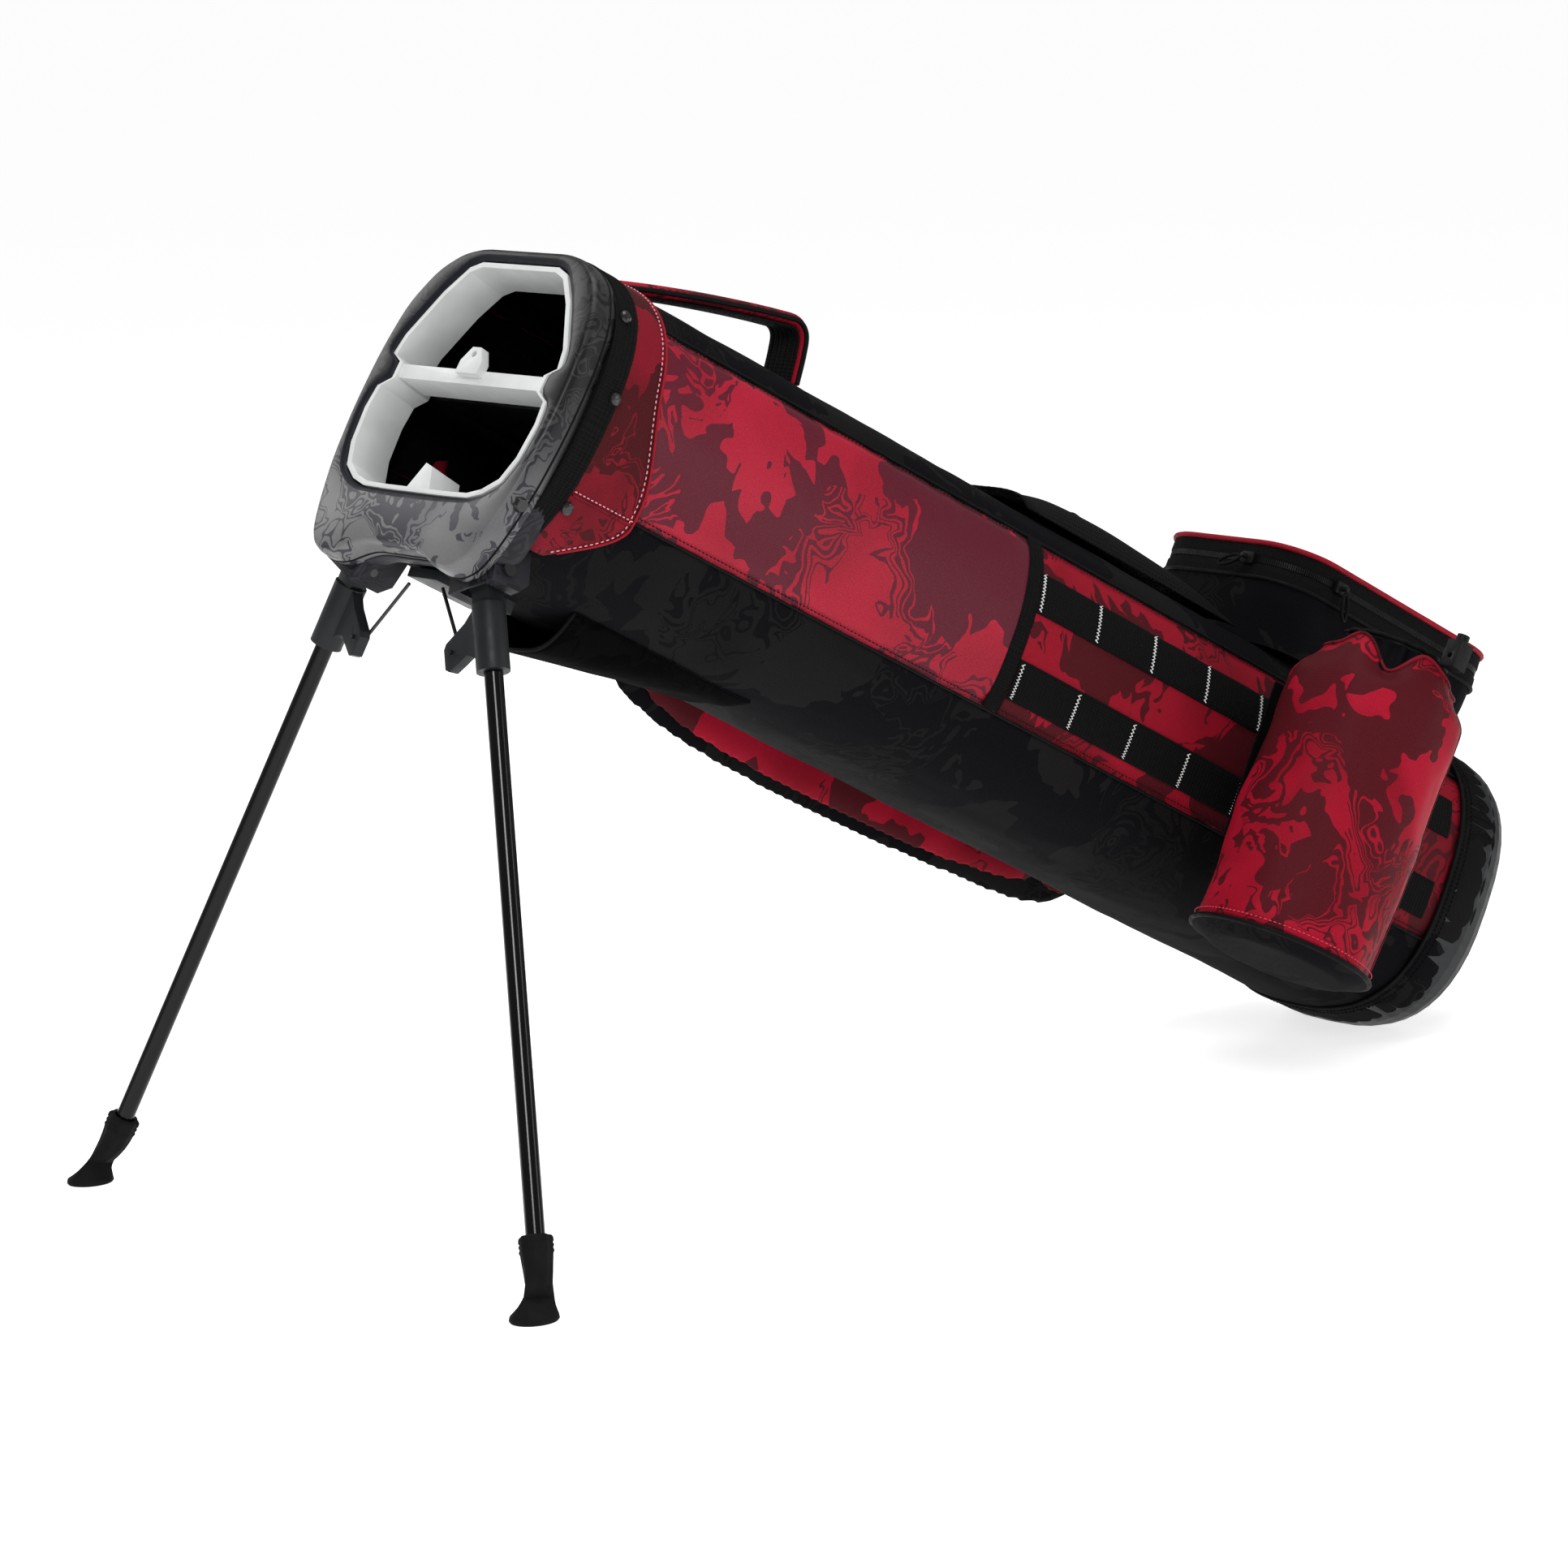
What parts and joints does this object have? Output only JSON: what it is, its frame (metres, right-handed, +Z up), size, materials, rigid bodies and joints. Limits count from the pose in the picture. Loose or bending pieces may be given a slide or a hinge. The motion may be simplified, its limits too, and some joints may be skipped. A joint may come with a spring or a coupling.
{
  "type": "golf stand bag",
  "caption": "Golf bag leaning on two folding legs, with moulded rim, carry handle, back pocket, round side pouch and shoulder strap.",
  "frame": {"origin": "on the floor, below the middle of the standing bag", "axes": "+Z up, the bag's mouth faces -X and its base is at +X, the pouch side is -Y"},
  "size_m": [0.9767, 0.4618, 0.5624],
  "materials": {
    "rim_plastic": "satin, swirl camouflage",
    "liner_white": "satin",
    "webbing_black": "woven",
    "metal_black": "gloss",
    "red_fabric": "glossy coated camouflage",
    "black_fabric": "coated, dark camouflage",
    "stay_fibre": "plain",
    "thread_white": "thread",
    "base_plastic": "satin",
    "bracket_plastic": "satin",
    "tube_black": "gloss black",
    "foot_rubber": "matte",
    "steel": "plain",
    "zip_black": "satin",
    "mesh_black": "mesh"
  },
  "bodies": {
    "bag": {"top_collar": "rim_plastic", "leg_housing": "rim_plastic", "divider_liner": "liner_white", "collar_band": "webbing_black", "band_rivets": "metal_black", "collar_bolts": "metal_black", "cuff": "red_fabric", "side_panel_near": "red_fabric", "side_panel_far": "red_fabric", "webbing_panel": "red_fabric", "belly_panel": "black_fabric", "spine_panel": "black_fabric", "leg_hood": "black_fabric", "panel_edge_tape": "webbing_black", "stay_rods": "stay_fibre", "divider_sheet": "black_fabric", "accessory_webbing": "webbing_black", "bar_tacks": "thread_white", "base_cup": "base_plastic", "base_lever_pin": "steel", "leg_pin_near": "metal_black", "leg_pin_far": "metal_black", "handle_grip": "red_fabric", "handle_webbing": "webbing_black", "mesh_pocket": "mesh_black", "mesh_pocket_rim": "webbing_black", "pocket_tub": "black_fabric", "pocket_zip_band": "webbing_black", "pouch_shell": "red_fabric", "pouch_base": "black_fabric", "pouch_throat": "black_fabric", "pouch_straps": "webbing_black", "cord_lock_body": "zip_black", "pouch_cord": "webbing_black", "strap_inner_pad": "red_fabric", "strap_outer_pad": "black_fabric", "strap_web_upper": "webbing_black", "strap_web_lower": "webbing_black", "strap_adjuster": "zip_black", "strap_ring": "metal_black", "strap_anchors": "webbing_black"},
    "leg_near": {"leg_bracket_near": "bracket_plastic", "leg_tube_near": "tube_black", "leg_foot_near": "foot_rubber", "link_wire_near": "steel"},
    "leg_far": {"leg_bracket_far": "bracket_plastic", "leg_tube_far": "tube_black", "leg_foot_far": "foot_rubber", "link_wire_far": "steel"},
    "actuator": {"actuator_rods": "steel", "actuator_yoke": "base_plastic"},
    "base_lever": {"base_lever": "base_plastic"},
    "lid": {"pocket_lid": "red_fabric"},
    "slider_near": {"zip_slider_near": "zip_black"},
    "pull_near": {"zip_pull_near": "zip_black"},
    "slider_top": {"zip_slider_top": "zip_black"},
    "pull_top": {"zip_pull_top": "zip_black"},
    "lock_button": {"cord_lock_button": "zip_black"}
  },
  "joints": [
    {"name": "leg_near_fold", "type": "hinge", "parent": "bag", "child": "leg_near", "pos_m": [-0.37113, -0.06, 0.38515], "axis": [0.1723, -0.9252, 0.3381], "range_deg": [0, 78]},
    {"name": "leg_far_fold", "type": "hinge", "parent": "bag", "child": "leg_far", "pos_m": [-0.37113, 0.06, 0.38515], "axis": [-0.1723, -0.9252, -0.3381], "range_deg": [0, 78]},
    {"name": "actuator_slide", "type": "slide", "parent": "bag", "child": "actuator", "axis": [0.891, 0, -0.454], "range_m": [0, 0.018]},
    {"name": "base_lever_hinge", "type": "hinge", "parent": "bag", "child": "base_lever", "pos_m": [0.44544, 0, 0.08244], "axis": [0, -1, 0], "range_deg": [0, 13.2]},
    {"name": "lid_hinge", "type": "hinge", "parent": "bag", "child": "lid", "pos_m": [0.48345, 0, 0.24074], "axis": [0, 1, 0], "range_deg": [0, 60]},
    {"name": "zip_near_slide", "type": "slide", "parent": "bag", "child": "slider_near", "axis": [0.891, 0, -0.454], "range_m": [0, 0.13]},
    {"name": "zip_top_slide", "type": "slide", "parent": "bag", "child": "slider_top", "axis": [0, 1, 0], "range_m": [0, 0.052]},
    {"name": "pull_near_swing", "type": "hinge", "parent": "slider_near", "child": "pull_near", "pos_m": [0.32374, -0.0702, 0.31056], "axis": [0, -1, 0], "range_deg": [-60, 60]},
    {"name": "pull_top_swing", "type": "hinge", "parent": "slider_top", "child": "pull_top", "pos_m": [0.28257, -0.026, 0.33153], "axis": [-0.891, 0, 0.454], "range_deg": [-60, 60]},
    {"name": "cord_lock_press", "type": "slide", "parent": "bag", "child": "lock_button", "axis": [-0.5075, 0, -0.8616], "range_m": [0, 0.004], "stiffness_N_per_m": 300}
  ],
  "couplings": [
    {"joint": "leg_far_fold", "follows": "leg_near_fold", "ratio": 1},
    {"joint": "actuator_slide", "follows": "leg_near_fold", "m_per_rad": 0.0132},
    {"joint": "base_lever_hinge", "follows": "leg_near_fold", "ratio": 0.1667}
  ]
}
